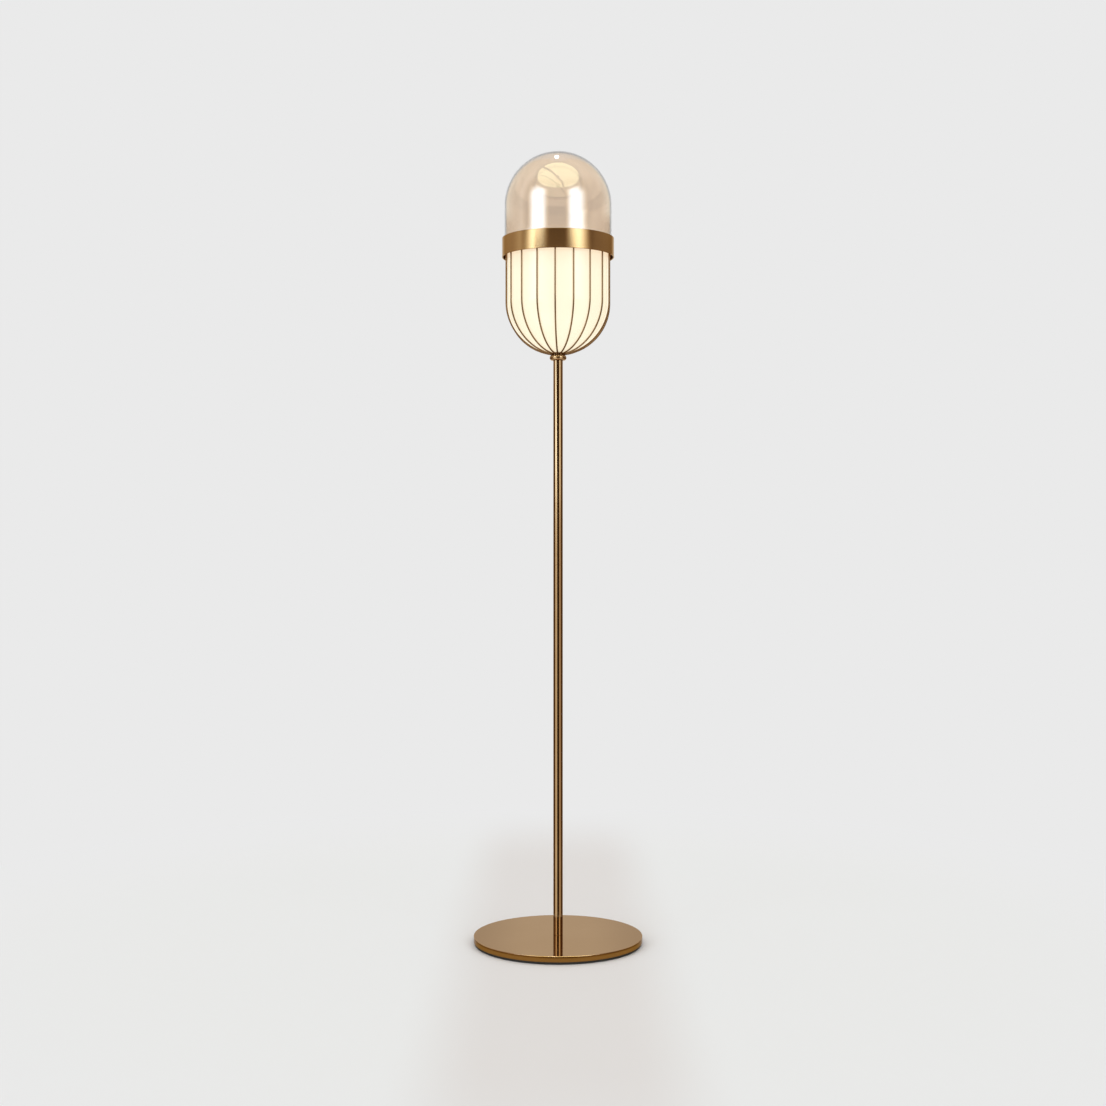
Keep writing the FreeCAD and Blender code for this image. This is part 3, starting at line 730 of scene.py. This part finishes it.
# the bead's side is one arc through its ends and its widest point
halfBead = (beadTop - beadBottom) / 2
bulge = beadRadius - bead["end"]
beadArc = (halfBead ** 2 + bulge ** 2) / (2 * bulge)
sweep = math.degrees(math.asin(halfBead / beadArc))
beadPiece = turned("stemBead", [
    (bead["hole"], beadBottom),
    (bead["end"] - 0.8 * mm, beadBottom),
    *arc((beadRadius - beadArc, beadBottom + halfBead), beadArc, -sweep, sweep, bead["steps"]),
    (bead["end"] - 0.8 * mm, beadTop),
    (bead["hole"], beadTop),
], bead["sides"])
finishPiece(beadPiece, "stand", polishedBrass, ["stem_bead"])

hub = {"radius": 13.01 * mm, "hole": 5.05 * mm, "bevel": 0.25 * mm, "sides": 96}
hubBottom, hubTop = span("cage_hub")[1:]
hubRadius = hub["radius"]
bevel = hub["bevel"]
hubPiece = turned("cageHub", [
    (hub["hole"], hubBottom), (hubRadius - bevel, hubBottom), (hubRadius, hubBottom + bevel),
    (hubRadius, hubTop - bevel), (hubRadius - bevel, hubTop), (hub["hole"], hubTop),
], hub["sides"])
finishPiece(hubPiece, "stand", wireBrass, ["cage_hub"])
print("stem made")


# cage

cage = {
    "count": 18,
    "turn": -3.3,         # degrees that the first wire stands off the front
    "line": 98.5 * mm,       # radius of the wires' middle line
    "wire": 1.5 * mm,
    "straight": 102.5 * mm,   # from the ball's middle up to the shelf
    "endRadius": 10.514 * mm,
    "sides": 14,
    "steps": 44,
    "endRing": 0.5 * mm,
}
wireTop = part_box("cage_wire_01")[1].z
cageCentre = span("band_shelf")[1] - cage["straight"]
bpy.ops.object.select_all(action="DESELECT")
bpy.ops.mesh.primitive_circle_add(vertices=cage["sides"], radius=cage["wire"], fill_type="NGON",
                                  location=(cage["line"], 0, wireTop))
wire = bpy.context.object
bpy.ops.object.transform_apply(location=True, rotation=False, scale=False)
bpy.ops.object.mode_set(mode="EDIT")
bpy.ops.mesh.select_mode(type="FACE")
bpy.ops.mesh.select_all(action="SELECT")
short = cage["endRing"]
for drop in (short, wireTop - cageCentre - 2 * short, short):
    bpy.ops.mesh.extrude_region_move(TRANSFORM_OT_translate={"value": (0, 0, -drop)})
bend = math.acos(cage["endRadius"] / cage["line"])
bpy.ops.mesh.spin(steps=cage["steps"], angle=bend, center=(0, 0, cageCentre), axis=(0, -1, 0))
bpy.ops.mesh.select_all(action="SELECT")
bpy.ops.mesh.remove_doubles(threshold=weld)
bpy.ops.mesh.normals_make_consistent(inside=False)
bpy.ops.object.mode_set(mode="OBJECT")
for number in range(cage["count"]):
    copy = wire.copy()
    copy.data = wire.data.copy()
    bpy.context.collection.objects.link(copy)
    copy.name = copy.data.name = "cageWire%02d" % (number + 1)
    bpy.ops.object.select_all(action="DESELECT")
    copy.select_set(True)
    bpy.context.view_layer.objects.active = copy
    copy.rotation_euler.z = math.radians(360 / cage["count"] * number + cage["turn"] - 90)
    bpy.ops.object.transform_apply(location=False, rotation=True, scale=False)
    finishPiece(copy, "stand", wireBrass, ["cage_wire_%02d" % (number + 1)], 50)
bpy.data.objects.remove(wire)
print("cage made")


# band, shelf and seal

band = {"wall": 2.0 * mm, "bevel": 0.4 * mm, "sides": 224}
bandRadius, bandBottom, bandTop = span("head_band")
inner = bandRadius - band["wall"]
bevel = band["bevel"]
bandPiece = turned("headBand", [
    (inner, bandBottom + 1.5 * mm),
    (inner, bandBottom + bevel),
    (inner + bevel, bandBottom),
    (bandRadius - bevel, bandBottom),
    (bandRadius, bandBottom + bevel),
    (bandRadius, bandBottom + 1.2 * mm),
    (bandRadius, bandTop - 1.2 * mm),
    (bandRadius, bandTop - bevel),
    (bandRadius - bevel, bandTop),
    (inner + bevel, bandTop),
    (inner, bandTop - bevel),
    (inner, bandTop - 1.5 * mm),
], band["sides"])
finishPiece(bandPiece, "stand", bandFinish, ["head_band"], 30)

shelf = {"hole": 96.6 * mm, "bevel": 0.3 * mm, "sides": 192}
shelfBottom, shelfTop = span("band_shelf")[1:]
shelfRadius = inner
bevel = shelf["bevel"]
shelfPiece = turned("bandShelf", [
    (shelf["hole"], shelfBottom + bevel), (shelf["hole"] + bevel, shelfBottom),
    (shelfRadius, shelfBottom), (shelfRadius, shelfTop), (shelf["hole"] + bevel, shelfTop),
    (shelf["hole"], shelfTop - bevel),
], shelf["sides"])
finishPiece(shelfPiece, "stand", wireBrass, ["band_shelf"])

seal = {"hole": 96.75 * mm, "domeGap": 0.35 * mm, "thick": 1.5 * mm, "round": 0.5 * mm, "sides": 192}
sealRadius, sealBottom, sealTop = span("dome_seal")
soft = seal["round"]
lip = span("glass_dome")[0] + seal["domeGap"]
sealPiece = turned("domeSeal", [
    (seal["hole"], sealBottom), (sealRadius, sealBottom), (sealRadius, sealTop - soft),
    *arc((sealRadius - soft, sealTop - soft), soft, 0, 90, 4),
    *arc((lip + soft, sealTop - soft), soft, 90, 180, 4),
    (lip, sealBottom + seal["thick"]),
    (seal["hole"], sealBottom + seal["thick"]),
], seal["sides"])
finishPiece(sealPiece, "stand", siliconeClear, ["dome_seal"])
print("band made")


# glass

dome = {"wall": 3.0 * mm, "rim": 1.0 * mm, "sides": 224, "crownSteps": 44}
domeRadius, domeBottom, domeTop = span("glass_dome")
domeCentre = domeTop - domeRadius
inside = domeRadius - dome["wall"]
rim = dome["rim"]
domePiece = turned("glassDome", [
    (0, domeTop),
    *arc((0, domeCentre), domeRadius, 88.5, 0, dome["crownSteps"]),
    (domeRadius, domeBottom + rim + 1 * mm),
    *arc((domeRadius - rim, domeBottom + rim), rim, 0, -90, 6),
    *arc((inside + rim, domeBottom + rim), rim, -90, -180, 6),
    (inside, domeBottom + rim + 1 * mm),
    *arc((0, domeCentre), inside, 0, 88.5, dome["crownSteps"]),
    (0, domeCentre + inside),
], dome["sides"])
finishPiece(domePiece, "dome", lustre, ["glass_dome"], 60)

bowl = {"wall": 3.0 * mm, "hole": 5.6 * mm, "sides": 192, "steps": 36, "lip": 1.4 * mm}
bowlRadius, bowlBottom, bowlTop = span("opal_bowl")
bore = bowlRadius - bowl["wall"]
flatOut = math.degrees(math.asin((cageCentre - bowlBottom) / bowlRadius))
flatIn = math.degrees(math.asin((cageCentre - bowlBottom - bowl["wall"]) / bore))
lip = bowl["lip"]
bowlPiece = turned("opalBowl", [
    (bowl["hole"], bowlBottom),
    *arc((0, cageCentre), bowlRadius, -flatOut, 0, bowl["steps"]),
    (bowlRadius, bowlTop - lip - 1 * mm),
    *arc((bowlRadius - lip, bowlTop - lip), lip, 0, 90, 5),
    *arc((bore + lip, bowlTop - lip), lip, 90, 180, 5),
    (bore, bowlTop - lip - 1 * mm),
    *arc((0, cageCentre), bore, 0, -flatIn, bowl["steps"]),
    (bowl["hole"], bowlBottom + bowl["wall"]),
], bowl["sides"])
finishPiece(bowlPiece, "stand", opalGlass, ["opal_bowl"], 40)
print("glass made")


# lid

lid = {"step": 2.0 * mm, "stepRadius": 92.4 * mm, "hole": 2.05 * mm, "round": 0.9 * mm, "sides": 192}
lidRadius, lidLow, lidTop = span("lid_disc")
lidBottom = lidLow + lid["step"]
soft = lid["round"]
lidPiece = turned("lidDisc", [
    (lid["hole"], lidLow), (lid["stepRadius"], lidLow), (lid["stepRadius"], lidBottom),
    (lidRadius, lidBottom),
    *arc((lidRadius - soft, lidTop - soft), soft, 0, 90, 5),
    (lidRadius - soft - 1 * mm, lidTop),
    (lid["hole"], lidTop),
], lid["sides"])
finishPiece(lidPiece, "lid", opalLid, ["lid_disc"])

bar = {"width": 4 * mm, "turn": 55, "eye": 5.5 * mm, "hole": 2.05 * mm, "length": 184 * mm, "bevel": 0.4 * mm,
       "eyeSides": 48}
barBottom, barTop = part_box("lid_bar")[0].z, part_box("lid_bar")[1].z
bpy.ops.object.select_all(action="DESELECT")
bpy.ops.mesh.primitive_cylinder_add(vertices=bar["eyeSides"], radius=bar["eye"], depth=barTop - barBottom,
                                    location=(0, 0, (barBottom + barTop) / 2))
barPiece = bpy.context.object
barPiece.name = barPiece.data.name = "lidBar"
bpy.ops.object.transform_apply(location=True, rotation=False, scale=False)
half = bar["width"] / 2
# the eye's two opposite sides are pulled out into the bar's arms
bpy.ops.object.mode_set(mode="EDIT")
bpy.ops.mesh.select_mode(type="FACE")
for side in (-1, 1):
    for offset in (half, -half):
        bpy.ops.mesh.select_all(action="SELECT")
        bpy.ops.mesh.bisect(plane_co=(0, offset, 0), plane_no=(0, 1, 0))
    bpy.ops.mesh.select_all(action="DESELECT")
    bpy.ops.object.mode_set(mode="OBJECT")
    for face in barPiece.data.polygons:
        face.select = abs(face.normal.z) < 0.1 and face.normal.x * side > 0.5 and abs(face.center.y) < half
    bpy.ops.object.mode_set(mode="EDIT")
    reach = side * (bar["length"] / 2 - bar["eye"])
    bpy.ops.mesh.extrude_region_move(TRANSFORM_OT_translate={"value": (reach, 0, 0)})
    bpy.ops.transform.resize(value=(0.02, 1, 1), center_override=(side * bar["length"] / 2, 0, 0))
bpy.ops.object.mode_set(mode="OBJECT")
drillDepth = barTop - barBottom + 2 * mm
bpy.ops.object.select_all(action="DESELECT")
bpy.ops.mesh.primitive_cylinder_add(vertices=32, radius=bar["hole"], depth=drillDepth,
                                    location=(0, 0, (barBottom + barTop) / 2))
drill = bpy.context.object
bpy.ops.object.transform_apply(location=True, rotation=False, scale=False)
bpy.ops.object.select_all(action="DESELECT")
barPiece.select_set(True)
bpy.context.view_layer.objects.active = barPiece
bored = barPiece.modifiers.new("bored", "BOOLEAN")
bored.object = drill
bored.solver = "EXACT"
bpy.ops.object.modifier_apply(modifier="bored")
bpy.data.objects.remove(drill)
softened = barPiece.modifiers.new("softened", "BEVEL")
softened.width = bar["bevel"]
softened.segments = 3
softened.limit_method = "ANGLE"
softened.angle_limit = math.radians(50)
bpy.ops.object.modifier_apply(modifier="softened")
barPiece.rotation_euler.z = math.radians(bar["turn"])
bpy.ops.object.transform_apply(location=False, rotation=True, scale=False)
finishPiece(barPiece, "lid", polishedBrass, ["lid_bar"])

knob = {"hole": 2.05 * mm, "holeDepth": 8.0 * mm, "waist": 4.0 * mm, "bevel": 1.0 * mm, "sides": 96}
knobRadius, knobBottom, knobTop = span("lid_knob")
rise = knobTop - knobBottom
bevel = knob["bevel"]
knobPiece = turned("lidKnob", [
    (0, knobBottom + knob["holeDepth"]),
    (knob["hole"], knobBottom + knob["holeDepth"]),
    (knob["hole"], knobBottom),
    (knobRadius - 1.5 * mm, knobBottom),
    *arc((knobRadius - 1.4 * mm, knobBottom + 0.5 * mm), 0.4 * mm, -60, 30, 3),
    (knob["waist"] + 0.3 * mm, knobBottom + rise * 0.22),
    (knob["waist"], knobBottom + rise * 0.30),
    (knob["waist"], knobBottom + rise * 0.38),
    (knob["waist"] + 0.5 * mm, knobBottom + rise * 0.43),
    (knobRadius - 0.5 * mm, knobBottom + rise * 0.53),
    (knobRadius, knobBottom + rise * 0.57),
    (knobRadius, knobTop - bevel - 1 * mm),
    *arc((knobRadius - bevel, knobTop - bevel), bevel, 0, 90, 6),
    (knobRadius - bevel - 1 * mm, knobTop),
    (0, knobTop),
], knob["sides"])
finishPiece(knobPiece, "lid", polishedBrass, ["lid_knob"])

screw = {"shank": 2.0 * mm, "slot": 0.8 * mm, "slotDepth": 1.0 * mm, "sides": 48}
headRadius, screwBottom, screwTop = span("lid_screw")
headTop = lidLow
screwPiece = turned("lidScrew", [
    (0, screwBottom),
    (headRadius - 1.2 * mm, screwBottom),
    *arc((headRadius - 1.0 * mm, screwBottom + 1.0 * mm), 1.0 * mm, -80, 0, 5),
    (headRadius, headTop),
    (screw["shank"], headTop),
    (screw["shank"], screwTop - 0.3 * mm),
    (screw["shank"] - 0.3 * mm, screwTop),
    (0, screwTop),
], screw["sides"])
bpy.ops.object.mode_set(mode="OBJECT")
cutBlock(screwPiece, (-screw["slot"] / 2, -headRadius - 1 * mm, screwBottom - 1 * mm),
         (screw["slot"] / 2, headRadius + 1 * mm, screwBottom + screw["slotDepth"]))
finishPiece(screwPiece, "lid", zincSteel, ["lid_screw"])
print("lid made")


# lampholder

cap = {"wall": 2.0 * mm, "hole": 5.05 * mm, "chamfer": (6 * mm, 5 * mm), "floor": 8 * mm, "sides": 96}
capRadius, capBottom, capTop = span("holder_cap")
slopeAcross, slopeUp = cap["chamfer"]
capPiece = turned("holderCap", [
    (cap["hole"], capBottom),
    (capRadius - slopeAcross, capBottom),
    (capRadius - slopeAcross * 0.5, capBottom + slopeUp * 0.42),
    (capRadius - slopeAcross * 0.12, capBottom + slopeUp * 0.8),
    (capRadius, capBottom + slopeUp + 0.6 * mm),
    (capRadius, capTop),
    (capRadius - cap["wall"], capTop),
    (capRadius - cap["wall"], capBottom + cap["floor"]),
    (cap["hole"], capBottom + cap["floor"]),
], cap["sides"])
finishPiece(capPiece, "stand", blackPhenolic, ["holder_cap"])

skirt = {"wall": 2.0 * mm, "ribs": 4, "ribEvery": 5.0 * mm, "ribDepth": 0.5 * mm, "sides": 96}
skirtRadius, skirtBottom, skirtTop = span("holder_skirt")
inner = skirtRadius - skirt["wall"]
ribs = []
for number in range(skirt["ribs"]):
    base = skirtBottom + 12 * mm + number * skirt["ribEvery"]
    ribs += [(skirtRadius, base), (skirtRadius - skirt["ribDepth"], base + 0.6 * mm),
             (skirtRadius - skirt["ribDepth"], base + 1.6 * mm), (skirtRadius, base + 2.2 * mm)]
half = skirt["wall"] / 2
skirtPiece = turned("holderSkirt", [
    (inner, skirtBottom), (skirtRadius - 0.4 * mm, skirtBottom), (skirtRadius, skirtBottom + 0.4 * mm),
    *ribs,
    *arc((skirtRadius - half, skirtTop - half), half, 0, 180, 8),
], skirt["sides"])
finishPiece(skirtPiece, "stand", blackPhenolic, ["holder_skirt"])
print("lampholder made")


# bulb

bulb = {"wall": 1.3 * mm, "sides": 96, "steps": 28, "slope": 27, "threads": 5, "threadDepth": 0.7 * mm,
        "pitch": 3.63 * mm, "land": 1.7 * mm, "ridge": (0.0, 0.14, 0.3, 0.5, 0.7, 0.86), "crest": 0.8}
globeRadius, globeBottom, globeTop = span("bulb_globe")
globeCentre = globeTop - globeRadius
thin = globeRadius - bulb["wall"]
slope = math.radians(bulb["slope"])
neckHeight = globeCentre - globeRadius * math.sin(slope)
mouth = globeRadius * math.cos(slope) - (neckHeight - globeBottom) * math.tan(slope)
innerMouth = mouth - bulb["wall"] / math.cos(slope)
globePiece = turned("bulbGlobe", [
    (0, globeTop),
    *arc((0, globeCentre), globeRadius, 88, -bulb["slope"], bulb["steps"]),
    (mouth, globeBottom),
    (innerMouth, globeBottom),
    *arc((0, globeCentre), thin, -bulb["slope"], 88, bulb["steps"]),
    (0, globeCentre + thin),
], bulb["sides"])
finishPiece(globePiece, "bulb", litPlastic, ["bulb_globe"], 50)

housing = {"plugRadius": 11.8 * mm, "neck": 13.7 * mm, "plug": 4.0 * mm, "wall": 1.3 * mm, "sides": 96}
housingRadius, plugBottom, housingTop = span("bulb_housing")
neckBottom = plugBottom + housing["plug"]
wall = housing["wall"]
housingPiece = turned("bulbHousing", [
    (housing["plugRadius"] - wall, plugBottom),
    (housing["plugRadius"], plugBottom),
    (housing["plugRadius"], neckBottom),
    (housing["neck"], neckBottom),
    (housing["neck"] + 0.15 * mm, neckBottom + 0.8 * mm),
    (housingRadius - 0.3 * mm, housingTop - 0.6 * mm),
    (housingRadius, housingTop),
    (housingRadius - wall, housingTop),
    (housing["plugRadius"] - wall, neckBottom),
], housing["sides"])
finishPiece(housingPiece, "bulb", whitePlastic, ["bulb_housing"])

baseRadius, baseBottom, baseTop = span("bulb_base")
core = baseRadius - bulb["threadDepth"]
ridges = []
for number in range(bulb["threads"]):
    base = baseBottom + bulb["land"] + number * bulb["pitch"]
    for share in bulb["ridge"]:
        swell = bulb["threadDepth"] * math.sin(math.pi * share) ** bulb["crest"]
        ridges.append((core + swell, base + share * bulb["pitch"]))
basePiece = turned("bulbBase", [
    (core - 0.5 * mm, baseBottom), (core, baseBottom), *ridges,
    (core, baseTop - bulb["land"]), (core, baseTop), (core - 0.5 * mm, baseTop),
], bulb["sides"])
finishPiece(basePiece, "bulb", nickel, ["bulb_base"], 50)
print("bulb made")


# finishes of the nodes that stay as the frame has them

kept = {
    "lead_sleeve": blackRubber,
    "foot_rod": zincSteel,
    "foot_washer": zincSteel,
    "foot_nut": zincSteel,
    "foot_bush": zincSteel,
    "seam_lower_bush": zincSteel,
    "seam_upper_bush": zincSteel,
    "head_bush": zincSteel,
    "seam_rod": zincSteel,
    "head_rod": zincSteel,
    "bowl_lower_washer": siliconeClear,
    "bowl_upper_washer": siliconeClear,
    "clamp_washer": zincSteel,
    "clamp_nut": zincSteel,
    "holder_core": whiteCeramic,
    "holder_thread": nickel,
    "holder_contact": nickel,
    "terminal_screws": nickel,
    "bulb_tip": nickel,
    "bulb_insulator": blackGlass,
    "bulb_board": nickel,
}
for node, finish in kept.items():
    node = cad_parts[node]
    node.data.materials.clear()
    node.data.materials.append(finish)
left = [name for name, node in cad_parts.items() if not node.hide_render and name not in kept]
print("nodes kept:", len(kept), "without a finish:", left)
